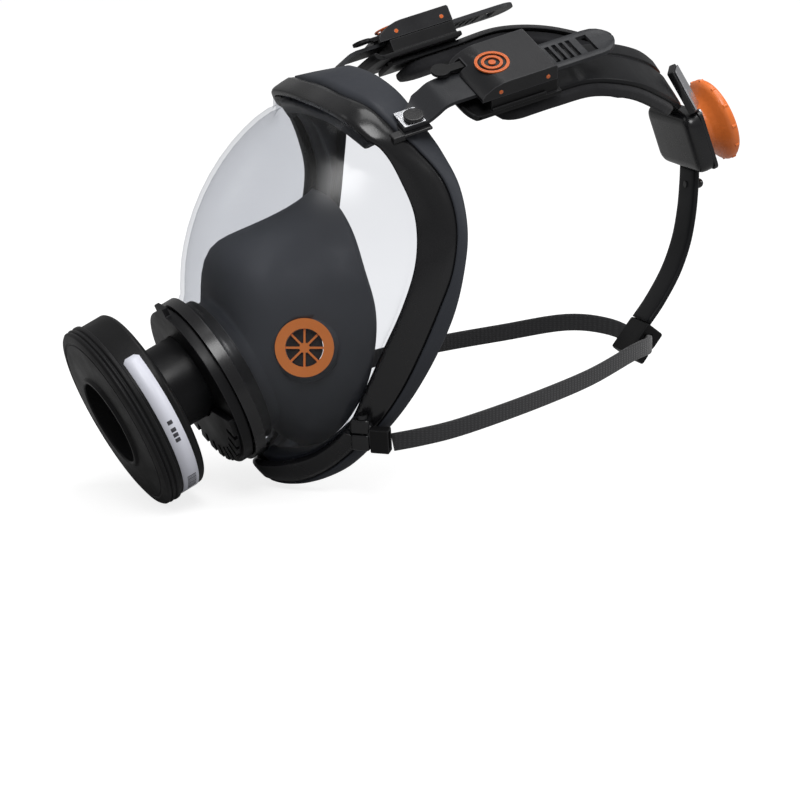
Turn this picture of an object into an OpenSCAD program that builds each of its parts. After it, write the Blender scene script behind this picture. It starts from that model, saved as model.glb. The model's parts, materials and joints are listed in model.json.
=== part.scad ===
// Full face respirator: visor and frame, face seal, half mask with check valves, valve housing,
// screw-in particle filter, ratchet straps and a head harness with a rear size knob.
// The mask faces -Y, the wearer's left is +X, and the origin is the middle of the wearer's head.

/* [Front] */
// Downward tilt of the filter axis, degrees
tilt = 25; // [20:1:28]
// Outer diameter of the filter canister
filter_d = 102; // [98:1:106]
// Height of the filter canister along its axis
filter_h = 25; // [22:1:28]
// Diameter of the air intake hole in the filter lid
intake_d = 46; // [36:1:50]
// Outer diameter of the threaded filter socket
socket_d = 45; // [44:1:48]

/* [Facepiece] */
// Wall of the moulded visor
visor_t = 2.4; // [2:0.1:3]
// Wall of the rubber half mask
half_mask_t = 2.2; // [1.8:0.1:3]
// Thickness of the frame's outer band
frame_t = 4; // [3.5:0.1:4.5]
// Width of the upper straps
strap_w = 22; // [20:0.5:24]
// Thickness of the upper straps
strap_t = 2; // [1.6:0.1:2.4]

/* [Harness] */
// Width of each strap buckle
buckle_w = 36; // [34:1:38]
// Length of each strap buckle
buckle_l = 38; // [36:1:42]
// Thickness of the crown frame
crown_t = 3; // [2.4:0.1:3.6]
// Flange diameter of the size knob
knob_d = 46; // [40:1:50]
// Length of the size knob
knob_l = 18; // [16:1:20]

/* [Hidden] */

$fn = 64;
gap = 0.2;                      // air left between fixed pieces
run = 0.05;                     // radial clearance of a running fit
rim_gap = 0.5;                  // air between the curved rims of frame, visor and seal
steps = 3;                      // curve steps between two outline points

// Colours
black = [0.05, 0.05, 0.055];
rubber = [0.2, 0.21, 0.23];
orange = [0.82, 0.41, 0.17];
steel = [0.7, 0.71, 0.73];
clear = [0.78, 0.84, 0.92, 0.35];
paper = [0.9, 0.91, 0.95];

// ---------- curves and skins ----------

function unit(v) = v / norm(v);
function mirrored(p) = [-p.x, p.y, p.z];

// Point at t on a Catmull-Rom span from b to c
function span(a, b, c, d, t) =
    0.5 * (2 * b + (c - a) * t + (2 * a - 5 * b + 4 * c - d) * t * t
           + (3 * b - a - 3 * c + d) * t * t * t);

// Smooth closed loop through the points
function loop(p, n = steps) =
    let (m = len(p))
    [for (i = [0 : m - 1]) for (k = [0 : n - 1])
        span(p[(i + m - 1) % m], p[i], p[(i + 1) % m], p[(i + 2) % m], k / n)];

// Smooth open path through the points
function path(p, n = steps) =
    let (m = len(p))
    [for (i = [0 : m - 2]) for (k = [0 : n - 1])
        span(i == 0 ? 2 * p[0] - p[1] : p[i - 1], p[i], p[i + 1],
             i == m - 2 ? 2 * p[m - 1] - p[m - 2] : p[i + 2], k / n), p[m - 1]];

// A half outline from the top centre to the bottom centre, completed on the other side
function both_sides(half) =
    concat(half, [for (i = [len(half) - 2 : -1 : 1]) mirrored(half[i])]);

// A half path from the front to the rear centre, completed back to the front
function there_and_back(half) =
    concat(half, [for (i = [len(half) - 2 : -1 : 0]) mirrored(half[i])]);

// Solid skin over rings of equal length; a closed skin joins its last ring to its first.
// Points run clockwise round a ring when seen from the next one; flip is for the other way round.
module skin(list, closed = false, flip = false) {
    n = len(list);
    m = len(list[0]);
    rings = flip ? [for (i = [n - 1 : -1 : 0]) list[i]] : list;
    last = closed ? n - 1 : n - 2;
    sides = [for (i = [0 : last]) for (j = [0 : m - 1])
        let (k = (i + 1) % n, l = (j + 1) % m)
        each [[i * m + j, k * m + j, k * m + l], [i * m + j, k * m + l, i * m + l]]];
    caps = closed ? [] : [[for (j = [0 : m - 1]) j], [for (j = [m - 1 : -1 : 0]) (n - 1) * m + j]];
    polyhedron([for (r = rings) each r], concat(sides, caps), convexity = 8);
}

// Ring of a band: a cross-section [[along, inward], ...] set between a front and a back edge
function section(front, back, tangent, shape) =
    let (w = unit(back - front), n = unit(cross(tangent, w)))
    [for (s = shape) front + w * s[0] * norm(back - front) + w * s[1] + n * s[2]];

function tangent_of(p, i, closed = true) =
    let (m = len(p))
    closed ? unit(p[(i + 1) % m] - p[(i + m - 1) % m])
           : unit(p[min(i + 1, m - 1)] - p[max(i - 1, 0)]);

// ---------- facepiece outlines ----------

// Each row is a place round the frame, top to bottom: front edge, back edge, skirt edge
frame_rows = [
    [[0, -113, 110], [0, -103, 118], [0, -80, 124]],
    [[24, -113, 110], [24, -103, 117], [20, -78, 122]],
    [[48, -111, 107], [49, -98, 114], [38, -74, 115]],
    [[60, -104, 99], [62, -89, 103], [55, -69, 101]],
    [[64, -96, 91], [70, -79, 91], [67, -64, 88]],
    [[67, -89, 77], [79, -70, 76], [77.5, -60, 73]],
    [[71, -83, 58], [86, -67, 56], [84.5, -59, 53]],
    [[74, -84, 36], [87, -69, 34], [85.5, -61, 33]],
    [[71, -90, 12], [83, -74, 14], [82.5, -65, 10]],
    [[63, -98, -13], [75, -82, -13], [76, -72, -13]],
    [[55, -104, -34], [66, -90, -36], [65, -80, -36]],
    [[46, -110, -54], [54, -100, -57], [52, -90, -57]],
    [[30, -121, -71], [34, -113, -79], [33, -101, -78]],
    [[14, -135, -79], [16, -125, -90], [16, -112, -88]],
    [[0, -143, -80], [0, -134, -91], [0, -118, -90]]];
front_edge = loop(both_sides([for (r = frame_rows) r[0]]));
back_edge = loop(both_sides([for (r = frame_rows) r[1]]));
skirt_edge = loop(both_sides([for (r = frame_rows) r[2]]));
stations = len(front_edge);
split_row = 11 * steps;         // place where the two frame halves meet

// Rear edge of the half mask, from the nose to the chin
cheek_edge = loop(both_sides([
    [0, -106, 62], [16, -102, 58], [30, -99, 46], [41, -97, 28], [48, -94, 8],
    [50, -95, -12], [47, -99, -34], [37, -106, -54], [20, -113, -68], [0, -116, -73]]));

// Point of the frame band: share and millimetres from the front edge, millimetres inward
function on_frame(i, share, along, inward) =
    let (w = unit(back_edge[i] - front_edge[i]),
         n = unit(cross(w, tangent_of(front_edge, i))))
    front_edge[i] + share * (back_edge[i] - front_edge[i]) + along * w + inward * n;

// ---------- valve housing frame ----------

housing_c = [0, -166, -33];
housing_out = [0, -cos(tilt), -sin(tilt)];
housing_up = [0, -sin(tilt), cos(tilt)];
collar_r = 43;
collar_root = -7;
collar_end = 1;
filter_y = 8;                   // the filter sits above the middle of the housing
exhale_y = -26.6;

module at_housing() translate(housing_c) rotate([90 + tilt, 0, 0]) children();
module at_filter() at_housing() translate([0, filter_y, 0]) children();
module at_exhale() at_housing() translate([0, exhale_y, 0]) children();

function in_housing(a, r, z) =
    housing_c + [r * cos(a), 0, 0] + r * sin(a) * housing_up + z * housing_out;
function housing_angle(p) = atan2((p - housing_c) * housing_up, p.x);

// Ring from z0 to z1
module ring(r_out, r_in, z0, z1) translate([0, 0, z0]) difference() {
    cylinder(r = r_out, h = z1 - z0);
    translate([0, 0, -1]) cylinder(r = r_in, h = z1 - z0 + 2);
}

// Bored disc that slides on a stem
stem_r = 1;
module valve_disc(r, z0, z1) ring(r, stem_r + run, z0, z1);

// Spider of spokes with a hub, and a stem with a head that holds the disc
module spider(r, spokes, width, z0, z1, stem_to) {
    for (k = [0 : spokes - 1]) rotate(k * 360 / spokes)
        translate([0, -width / 2, z0]) cube([r, width, z1 - z0]);
    translate([0, 0, z0]) cylinder(r = 2.6, h = z1 - z0);
    low = min(stem_to, z0);
    translate([0, 0, low]) cylinder(r = stem_r, h = max(stem_to, z1) - low);
    translate([0, 0, stem_to < z0 ? stem_to - 0.8 : stem_to]) cylinder(r = 2, h = 0.8);
}

// ---------- visor ----------

visor_c = [0, -70, 10];
visor_semi = [78, 108, 113];
visor_rim = frame_t + rim_gap;
visor_shares = [0.06, 0.2, 0.36, 0.54, 0.74, 0.9];

function on_ellipsoid(p, t) =
    let (d = p - visor_c, s = visor_semi - [t, t, t],
         k = norm([d.x / s.x, d.y / s.y, d.z / s.z]))
    visor_c + d / k;

// Point of the visor between its rim and its collar, t millimetres inside the outer face
function on_visor(i, share, t) =
    let (rim = on_frame(i, 0, -1.2, visor_rim + t),
         a = housing_angle(rim),
         root = in_housing(a, collar_r - t, collar_root),
         flat = rim + share * (root - rim),
         swell = (1 - pow(2 * share - 1, 10)) * min(1, norm(root - rim) / 80))
    flat + swell * (on_ellipsoid(flat, t) - flat);

function visor_ring(kind, t) = [for (i = [0 : stations - 1])
    kind == "edge" ? on_frame(i, 0.7, 0, visor_rim + t)
    : kind == "end" ? in_housing(housing_angle(on_frame(i, 0, 0, visor_rim)), collar_r - t, collar_end)
    : on_visor(i, kind, t)];

visor_order = concat(["edge", 0], visor_shares, [1, "end"]);

module visor() color(clear) skin(
    concat([for (k = visor_order) visor_ring(k, 0)],
           [for (j = [len(visor_order) - 1 : -1 : 0]) visor_ring(visor_order[j], visor_t)]),
    closed = true, flip = true);

// ---------- frame ----------

frame_shape = [[0, 0, 0.8], [0, 0.8, 0], [1, -0.8, 0], [1, 0, 0.8], [1, 0, frame_t], [0, 0, frame_t]];

function frame_ring(i) = [for (s = frame_shape) on_frame(i, s[0], s[1], s[2])];

// Lug on the side of the frame that both halves and the lower strap meet at
lug_c = [52, -105, -58];
lug_turn = [0, 100, -41];
module at_lower_lug() translate(lug_c) rotate(lug_turn) children();
module both() { children(); mirror([1, 0, 0]) children(); }

// Frame ring a small share of a step away from ring i, towards ring k
function near_ring(i, k) =
    let (a = frame_ring(i), b = frame_ring(k)) [for (j = [0 : len(a) - 1]) a[j] + 0.06 * (b[j] - a[j])];

// The two blocks of the lug, grown by g where the other half makes room for them
module upper_block(g = 0) at_lower_lug() translate([-12 - g, -3 - g, -2.5 - g])
    cube([8 + 2 * g, 10 + 2 * g, 7.5 + 2 * g]);
module lower_block(g = 0) at_lower_lug() translate([-3.6 - g, -3 - g, -2.5 - g])
    cube([9 + 2 * g, 10 + 2 * g, 7.5 + 2 * g]);
module lug_bore() at_lower_lug() translate([-20, 3, 2]) rotate([0, 90, 0]) cylinder(r = 1.55, h = 30);

module frame_upper() color(black) difference() {
    union() {
        difference() {
            skin([for (i = [-split_row + stations : split_row + stations]) frame_ring(i % stations)],
                 flip = true);
            both() lower_block(gap);
        }
        both() at_buckle() upper_lug();
        both() upper_block();
    }
    both() lug_bore();
}

module frame_lower() color(black) difference() {
    union() {
        difference() {
            skin(concat([near_ring(split_row, split_row + 1)],
                        [for (i = [split_row + 1 : stations - split_row - 1]) frame_ring(i)],
                        [near_ring(stations - split_row, stations - split_row - 1)]), flip = true);
            both() upper_block(gap);
        }
        both() lower_block();
    }
    both() lug_bore();
}

module frame_screws() color(steel) both() at_lower_lug() translate([0, 3, 2]) rotate([0, 90, 0]) {
    translate([0, 0, -12.5]) cylinder(r = 1.5, h = 17);
    translate([0, 0, -14.4]) difference() {
        cylinder(r = 2.8, h = 2.2);
        translate([0, 0, -1]) cylinder(r = 1.4, h = 2, $fn = 6);
    }
}

// ---------- face seal ----------

skirt_t = 2.4;
seal_rim = visor_rim + visor_t + rim_gap;
flap_w = 13;

function seal_ring(i) =
    let (w = unit(back_edge[i] - front_edge[i]),
         n = unit(cross(w, tangent_of(front_edge, i))),
         tip = skirt_edge[i],
         lip = tip + flap_w * unit([n.x, 0, n.z]))
    [on_frame(i, 1, rim_gap, 1.5), tip, lip, lip - skirt_t * w,
     tip - skirt_t * w + skirt_t * n, on_frame(i, 1, 2.6, seal_rim + skirt_t),
     on_frame(i, 0.1, 0, seal_rim + skirt_t), on_frame(i, 0.1, 0, seal_rim),
     on_frame(i, 1, gap, seal_rim)];

module face_seal() color(rubber) difference() {
    skin([for (i = [0 : stations - 1]) seal_ring(i)], closed = true, flip = true);
    both() at_buckle() upper_lug_plate(gap);
}

// ---------- half mask ----------

mask_collar_r = 36.9;
mask_collar_root = -18;
mask_collar_end = -4;
mask_axis_rear = [0, -100, -8];
valve_c = [43, -131, -10];
valve_turn = [0, 75, -25];
module at_valve() translate(valve_c) rotate(valve_turn) children();

function on_mask(p, share, t) =
    let (a = housing_angle(p),
         root = in_housing(a, mask_collar_r, mask_collar_root),
         axis = mask_axis_rear + share * (in_housing(0, 0, mask_collar_root) - mask_axis_rear),
         v = p + share * (root - p) - axis,
         up = max(0, unit(v).z),
         hump = sin(180 * pow(share, 5)) * pow(up, 4),
         swell = sin(180 * pow(share, 1.7)) * (0.05 + 0.18 * pow(up, 3)) + 0.42 * hump)
    axis + v * (1 + swell) - t * unit(v) - t * hump * housing_out;

module half_mask() color(rubber) {
    shares = [0, 0.15, 0.32, 0.5, 0.68, 0.82, 0.93, 1];
    outer = [for (s = shares) [for (p = cheek_edge) on_mask(p, s, 0)]];
    inner = [for (j = [len(shares) - 1 : -1 : 0])
        [for (p = cheek_edge) on_mask(p, shares[j], half_mask_t)]];
    end_out = [for (p = cheek_edge) in_housing(housing_angle(p), mask_collar_r, mask_collar_end)];
    end_in = [for (p = cheek_edge)
        in_housing(housing_angle(p), mask_collar_r - half_mask_t, mask_collar_end)];
    difference() {
        union() {
            skin(concat(outer, [end_out, end_in], inner), closed = true, flip = true);
            both() at_valve() translate([0, 0, -7]) cylinder(r = 15, h = 7.4);
        }
        both() at_valve() translate([0, 0, -12]) cylinder(r = 12.8, h = 30);
        both() at_valve() translate([0, 0, 0.4]) cylinder(r = 15.3, h = 20);
    }
}

// ---------- cheek check valves ----------

module valve_seat() at_valve() {
    ring(15, 9.75, 0.6, 2.6);
    ring(12.6, 9.75, -5, 0.7);
    spider(10, 8, 1.1, -0.6, 1.2, -4.4);
}
module cheek_flap() at_valve() valve_disc(9.4, -1.5, -0.8);

module valve_seat_left() color(orange) valve_seat();
module valve_seat_right() color(orange) mirror([1, 0, 0]) valve_seat();
module cheek_flap_left() color(black) cheek_flap();
module cheek_flap_right() color(black) mirror([1, 0, 0]) cheek_flap();

// ---------- valve housing ----------

housing_r = 44.5;
floor_z = 5;
face_z = 8;
socket_r = socket_d / 2;
socket_end = 29;
thread_r = 20.6;
neck_r = 20.2;
exhale_r = 8.5;

module front_housing() color(black) at_housing() difference() {
    union() {
        translate([0, 0, 2.4]) cylinder(r = housing_r, h = face_z - 2.4);
        translate([0, 0, -12]) cylinder(r = 40.2, h = 16);
        translate([-6, 38, 5]) cube([12, 11, 3]);
    }
    translate([0, 0, -13]) cylinder(r = 37.3, h = 13 + floor_z);
    translate([0, filter_y, 0]) cylinder(r = socket_r + run, h = 20);
    translate([0, exhale_y, floor_z - 0.1]) cylinder(r = exhale_r + 2.1, h = 20);
}

module housing_gasket() color(rubber) at_housing() ring(42.8, 40.8, 1.1, 2.3);

module socket() color(black) at_filter() {
    difference() {
        union() {
            translate([0, 0, 2.5]) cylinder(r = socket_r, h = socket_end - 2.5);
            translate([0, 0, 2.5]) cylinder(r = socket_r + 1.4, h = floor_z - 2.7);
        }
        translate([0, 0, 7.5]) cylinder(r = thread_r, h = 30);
        translate([0, 0, 0]) cylinder(r = 17.5, h = 10);
    }
    spider(17.8, 4, 2, 4.5, 6.5, -0.2);
}

module socket_gasket() color(rubber) at_filter() ring(20.4, 17.2, 7.6, 9.6);
module inhale_disc() color(rubber) at_filter() valve_disc(19, 1.6, 2.4);

module exhale_seat() color(black) at_exhale() {
    ring(exhale_r + 2, exhale_r, 2, 6);
    spider(exhale_r + 0.5, 4, 1.6, 2.5, 4, 8.2);
}
module exhale_disc() color(rubber) at_exhale() valve_disc(exhale_r + 0.9, 6.1, 6.9);

// Crescent of plate below the socket
module crescent(r_out, r_in, top) difference() {
    circle(r = r_out);
    translate([0, filter_y]) circle(r = r_in);
    translate([-60, top]) square(120);
}

module vent_cover() color(black) at_housing() difference() {
    translate([0, 0, face_z + 0.1]) linear_extrude(2.7) crescent(42, socket_r + 0.8, -8);
    translate([0, 0, face_z]) linear_extrude(1.4) crescent(40, socket_r + 2.6, -10.5);
    for (a = [-62 : 12.4 : 62]) rotate(a - 90)
        translate([34, -1.6, face_z + 0.9]) cube([20, 3.2, 6]);
}

module clamp_ring() color(black) at_housing() difference() {
    union() {
        ring(46.2, 43.2, -4.5, 1.9);
        for (y = [-4, 1.2]) translate([-54, y, -4.5]) cube([9.5, 2.8, 6.4]);
    }
    translate([-60, -1.2, -6]) cube([18, 2.4, 10]);
    translate([0, 0, -6]) cylinder(r = 43.2, h = 10);
    translate([-50.5, 0, -1.3]) rotate([90, 0, 0]) cylinder(r = 1.6, h = 20, center = true);
}

module clamp_screw() color(steel) at_housing() translate([-50.5, 0, -1.3]) rotate([90, 0, 0]) {
    translate([0, 0, -4.5]) cylinder(r = 1.55, h = 9);
    difference() {
        translate([0, 0, 4.1]) cylinder(r = 2.8, h = 1.8);
        translate([0, 0, 4.8]) cylinder(r = 1.5, h = 2, $fn = 6);
    }
    translate([0, 0, -6.1]) cylinder(r = 2.8, h = 2, $fn = 6);
}

// ---------- filter ----------

filter_r = filter_d / 2;
intake_r = intake_d / 2;
filter_back = 30.4;
filter_front = filter_back + filter_h;
lid_z = filter_front - 9;
label_arc = 134;
label_start = -84;
label_w = 9.6;

// Light ring on the root of the threaded neck, which rides along with the filter
module filter_washer() color(rubber) at_filter() ring(22.3, neck_r + run, 29.2, 30.3);

module filter_body() color(black) at_filter() difference() {
    union() {
        translate([0, 0, filter_back]) cylinder(r1 = filter_r - 3.5, r2 = filter_r - 1.5, h = 2);
        translate([0, 0, filter_back + 2]) cylinder(r = filter_r - 1.5, h = lid_z - filter_back - 2.1);
        translate([0, 0, 10]) cylinder(r = neck_r, h = 22);
    }
    translate([0, 0, filter_back + 2]) cylinder(r = filter_r - 4, h = 30);
    translate([0, 0, 9]) cylinder(r = 17, h = 30);
}

module filter_media() color(paper) at_filter()
    translate([0, 0, filter_back + 2.4]) cylinder(r = filter_r - 4.2, h = lid_z - filter_back - 3);

module filter_lid() color(black) at_filter() rotate_extrude() polygon([
    [intake_r, filter_front - 6], [intake_r, filter_front + 2.4], [intake_r + 2, filter_front + 2.4],
    [intake_r + 3, filter_front + 1.2], [filter_r - 4, filter_front], [filter_r - 0.5, filter_front - 1.4],
    [filter_r, filter_front - 2.2], [filter_r, filter_front - 4.6], [filter_r - 1, filter_front - 5],
    [filter_r - 1, lid_z + 2], [filter_r - 0.2, lid_z + 1.6], [filter_r - 0.2, lid_z],
    [filter_r - 4.5, lid_z], [filter_r - 4.5, filter_front - 3.4], [intake_r + 3, filter_front - 1.6],
    [intake_r + 3, filter_front - 6]]);

module filter_label() color(paper) at_filter() rotate(label_start) rotate_extrude(angle = label_arc)
    translate([filter_r - 1.45, filter_back + 4.6]) square([0.35, label_w]);

// ---------- straps and buckles ----------

buckle_c = [58.6, -25, 127];
buckle_rise = 13;
buckle_lean = 24;
module at_buckle() translate(buckle_c) rotate([buckle_rise, 0, 0]) rotate([0, buckle_lean, 0]) children();
buckle_x = [cos(buckle_lean), sin(buckle_lean) * sin(buckle_rise), -sin(buckle_lean) * cos(buckle_rise)];
buckle_y = [0, cos(buckle_rise), sin(buckle_rise)];
buckle_z = cross(buckle_x, buckle_y);
function in_buckle(x, y, z) = buckle_c + x * buckle_x + y * buckle_y + z * buckle_z;

// A profile drawn in y and z, extruded along x
module side_profile(w) rotate([90, 0, 90]) linear_extrude(w, center = true) children();

// Outline of a strip of thickness t along a line
function strip(p, t) =
    let (n = [for (i = [0 : len(p) - 1]) let (d = tangent_of(p, i, false)) [-d.y, d.x] * t / 2])
    concat([for (i = [0 : len(p) - 1]) p[i] + n[i]], [for (i = [len(p) - 1 : -1 : 0]) p[i] - n[i]]);

tail_y = 50;
strap_line = concat(path([[-65, -6.5], [-57, -6.5], [-51.5, -6.5], [-46, -4], [-41, -1], [-36, 0]]),
                    [[tail_y, 0]]);
peg_at = [6, -57, -6.5];
peg_r = 3;
slot_pitch = 4;

module upper_strap() at_buckle() difference() {
    union() {
        side_profile(strap_w) polygon(strip(strap_line, strap_t));
        translate([0, tail_y, 0]) cylinder(r = strap_w / 2, h = strap_t, center = true);
    }
    for (y = [-18 : slot_pitch : 38]) translate([-7, y - 1.2, -2]) cube([14, 2.4, 4]);
    translate([-7, 43, -2]) cube([14, 6, 4]);
    translate(peg_at) cylinder(r = peg_r + 0.1, h = 6, center = true);
    translate([0, 0, -12]) linear_extrude(9) polygon([[-12, -48], [5, -66], [-12, -66]]);
}
module upper_strap_left() color(rubber) upper_strap();
module upper_strap_right() color(rubber) mirror([1, 0, 0]) upper_strap();

// Tongue of the frame that carries the strap peg, in the buckle's frame
lug_top = peg_at.z - strap_t / 2 - gap;
module upper_lug_plate(g = 0) {
    translate([peg_at.x - 3.5 - g, -66 - g, lug_top - 1.7 - g])
        cube([11.5 + 2 * g, 16 + 2 * g, 1.7 + 2 * g]);
    translate([peg_at.x + 0.5 - g, -73, lug_top - 1.7 - g]) cube([7.5 + 2 * g, 8, 1.7 + 2 * g]);
    translate([peg_at.x + 0.5 - g, -73, lug_top - 4 - g]) cube([7.5 + 2 * g, 4.6 + g, 3.5]);
}
module upper_lug() difference() {
    upper_lug_plate();
    translate([peg_at.x, peg_at.y, -15]) cylinder(r = 2, h = 12);
}

module strap_pegs() color(black) both() at_buckle() translate(peg_at) {
    translate([0, 0, -3]) cylinder(r = 1.95, h = 4);
    translate([0, 0, -1.1]) cylinder(r = peg_r, h = 3.4);
    translate([0, 0, 2]) cylinder(r = 5.2, h = 2.2);
}

module lug_plates() color(steel) both() at_buckle()
    translate(peg_at + [0, 0, strap_t / 2 + 0.1]) difference() {
        translate([-8, -7.5, 0]) cube([12.8, 12, 0.7]);
        cylinder(r = peg_r + 0.1, h = 4, center = true);
    }

pin_y = 13.5;
pin_z = 3.4;
pin_r = 1.1;
half_w = buckle_w / 2;
half_l = buckle_l / 2;
module buckle_pin_holes() for (y = [-pin_y, pin_y])
    translate([0, y, pin_z]) rotate([0, 90, 0]) cylinder(r = pin_r + run, h = 60, center = true);

module buckle_base() at_buckle() difference() {
    union() {
        translate([-half_w, -half_l, -7]) cube([buckle_w, buckle_l, 6.9]);
        translate([-half_w - 1, -half_l - 8, -9.5]) cube([buckle_w + 2, buckle_l + 10, 2.6]);
    }
    translate([-strap_w / 2 - 0.4, -40, -1.4]) cube([strap_w + 0.8, 80, 3]);
}

module buckle_cover() at_buckle() difference() {
    side_profile(buckle_w) polygon([[-half_l - 5, 0.1], [-half_l - 5, 2], [-half_l - 3.4, 4.2],
        [-half_l + 2, 7.2], [-half_l + 7, 8.4], [-half_l + 10, 8.6], [half_l - 0.8, 8.6],
        [half_l, 7.8], [half_l, 0.1]]);
    translate([-14.5, -half_l + 2.4, -0.1]) cube([29, buckle_l - 4.8, 6.5]);
    translate([-strap_w / 2 - 0.4, -40, -1]) cube([strap_w + 0.8, 80, 2.4]);
    translate([-15, -40, -1]) cube([8, 30, 6.6]);
    buckle_pin_holes();
    translate([0, -9, 8.1]) cylinder(r = 9.3, h = 2);
}

// Raised rings on the buckle's top
module buckle_badge() at_buckle() translate([0, -9, 0]) {
    ring(9, 7.4, 8.15, 9);
    ring(5.6, 4, 8.15, 9);
    translate([0, 0, 8.15]) cylinder(r = 1.9, h = 0.85);
}

module buckle_pins() color(orange) both() at_buckle() for (y = [-pin_y, pin_y])
    translate([0, y, pin_z]) rotate([0, 90, 0]) cylinder(r = pin_r, h = buckle_w + 0.6, center = true);

// Lever on the front pin: a thumb tab outside, and a pawl bar over the strap's rungs
module release_lever() at_buckle() difference() {
    union() {
        translate([-13.8, -26, 2.2]) cube([5.3, 32.5, 2.4]);
        translate([-13.8, -32, 3]) cube([5.3, 8, 1.6]);
        translate([-12, -32, 3]) cylinder(r = 5, h = 1.6);
        translate([-13.8, 3.5, 2.2]) cube([21.8, 3, 2.4]);
        translate([-5.5, 4.2, 1.3]) cube([11, 1.6, 1]);
    }
    translate([0, -pin_y, pin_z]) rotate([0, 90, 0]) cylinder(r = pin_r + run, h = 60, center = true);
}

module buckle_base_left() color(black) buckle_base();
module buckle_base_right() color(black) mirror([1, 0, 0]) buckle_base();
module buckle_cover_left() color(rubber) buckle_cover();
module buckle_cover_right() color(rubber) mirror([1, 0, 0]) buckle_cover();
module buckle_badge_left() color(orange) buckle_badge();
module buckle_badge_right() color(orange) mirror([1, 0, 0]) buckle_badge();
module release_lever_left() color(black) release_lever();
module release_lever_right() color(black) mirror([1, 0, 0]) release_lever();

// ---------- lower strap ----------

lower_strap_w = 9.5;
lower_strap_t = 2;
lower_route = there_and_back([[60.4, -89.8, -60], [67, -77, -57], [70, -60, -54], [70, -35, -49],
    [64, -4, -44], [54, 28, -39], [39, 60, -33], [23, 79, -34], [0, 86.5, -38]]);

module lower_strap() color(black) {
    line = path(lower_route, 2);
    skin([for (i = [0 : len(line) - 1])
        let (d = tangent_of(line, i, false), n = unit(cross([0, 0, 1], d)), v = unit(cross(d, n)),
             a = v * lower_strap_w / 2, b = n * lower_strap_t / 2)
        [line[i] + a + b, line[i] + a - b, line[i] - a - b, line[i] - a + b]]);
}

module lower_clips() color(black) both() at_lower_lug() difference() {
    translate([-7, 7.3, -1.5]) cube([13, 10, 6.5]);
    translate([-5.5, 8.3, 0.2]) cube([10.2, 12.3, 3.3]);
}

// ---------- crown harness ----------

// Rails of the crown frame from a buckle to the rear centre: inner edge, outer edge
crown_rows = [
    [in_buckle(-13, -20, -9.8), in_buckle(13, -20, -9.8)],
    [in_buckle(-13, 0, -9.8), in_buckle(13, 0, -9.8)],
    [in_buckle(-13, 19, -9.8), in_buckle(13, 19, -9.8)],
    [[40, 18, 134], [65, 21, 121]],
    [[33, 43, 134], [58, 50, 116]],
    [[22, 67, 128], [43, 76, 105]],
    [[10, 83, 120], [23, 96, 95]],
    [[0, 88, 116], [0, 105, 91]]];
crown_in = path(there_and_back([for (r = crown_rows) r[0]]), 2);
crown_out = path(there_and_back([for (r = crown_rows) r[1]]), 2);
crown_count = len(crown_in);

// Section of the crown: share across, millimetres across, millimetres towards the head
function on_crown(i, share, across, depth) =
    let (u = unit(crown_out[i] - crown_in[i]),
         mid = [for (k = [0 : crown_count - 1]) (crown_in[k] + crown_out[k]) / 2],
         n = unit(cross(tangent_of(mid, i, false), u)))
    crown_in[i] + share * (crown_out[i] - crown_in[i]) + across * u + depth * n;

crown_shape = [[0, 0, 1.2], [0, 2.5, 0], [1, -2.5, 0], [1, 0, 1.2], [1, 0, crown_t], [0, 0, crown_t]];
module crown_frame() color(rubber) skin([for (i = [0 : crown_count - 1])
    [for (s = crown_shape) on_crown(i, s[0], s[1], s[2])]]);

pad_shape = [[0, 3, crown_t + 0.4], [1, 1, crown_t + 0.4], [1, 5, crown_t + 3.5],
             [1, 4, crown_t + 8], [0, 3, crown_t + 8]];
pad_rings = 7;
module crown_pad() skin([for (i = [1 : 2 * pad_rings - 2])
    [for (s = pad_shape) on_crown(i, s[0], s[1], s[2])]]);
module crown_pad_left() color(rubber) crown_pad();
module crown_pad_right() color(rubber) mirror([1, 0, 0]) crown_pad();

// ---------- rear housing and size knob ----------

knob_c = [0, 113, 76];
knob_rise = 20;
module at_knob() translate(knob_c) rotate([-90 + knob_rise, 0, 0]) children();

house_x = 24;
house_top = -16;
house_bottom = 18;
house_z = -11;
cover_z = -2.1;
room_x = 21.6;
room_y = 12.2;

tooth_m = 1.5;                  // gear module
teeth = 10;
pitch_r = tooth_m * teeth / 2;
pressure = 20;
backlash = 0.15;
gear_low = -9.4;
gear_h = 6;
rack_back = 12;
rack_half = 13;

module screw_spots() for (x = [-19, 19], y = [house_top + 1.9, house_bottom - 2.9])
    translate([x, y, 0]) children();

module rear_housing() color(black) at_knob() difference() {
    translate([-house_x, house_top, house_z])
        cube([2 * house_x, house_bottom - house_top, cover_z - house_z - 0.1]);
    translate([-room_x, -room_y, house_z + 1.5]) cube([2 * room_x, 2 * room_y, 20]);
    translate([0, 0, -20]) cylinder(r = 2 + run, h = 20);
    screw_spots() translate([0, 0, -9]) cylinder(r = 1.25, h = 10);
}

module housing_cover() color(black) at_knob() difference() {
    translate([0, 0, cover_z]) linear_extrude(2) offset(4) offset(-4)
        translate([-house_x, house_top]) square([2 * house_x, house_bottom - house_top]);
    translate([0, 0, -5]) cylinder(r = 4 + run, h = 10);
    screw_spots() translate([0, 0, -5]) cylinder(r = 1.25, h = 10);
}

module cover_screws() color(steel) at_knob() screw_spots() {
    translate([0, 0, -8]) cylinder(r = 1.2, h = 8.2);
    difference() {
        cylinder(r = 2.2, h = 1.2);
        translate([0, 0, 0.5]) cylinder(r = 1, h = 2, $fn = 6);
    }
}

// Involute: point at roll angle a on base radius r
function involute(r, a) = r * [cos(a) + a * PI / 180 * sin(a), sin(a) - a * PI / 180 * cos(a)];
function roll_at(r, base) = sqrt(pow(r / base, 2) - 1) * 180 / PI;

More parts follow.
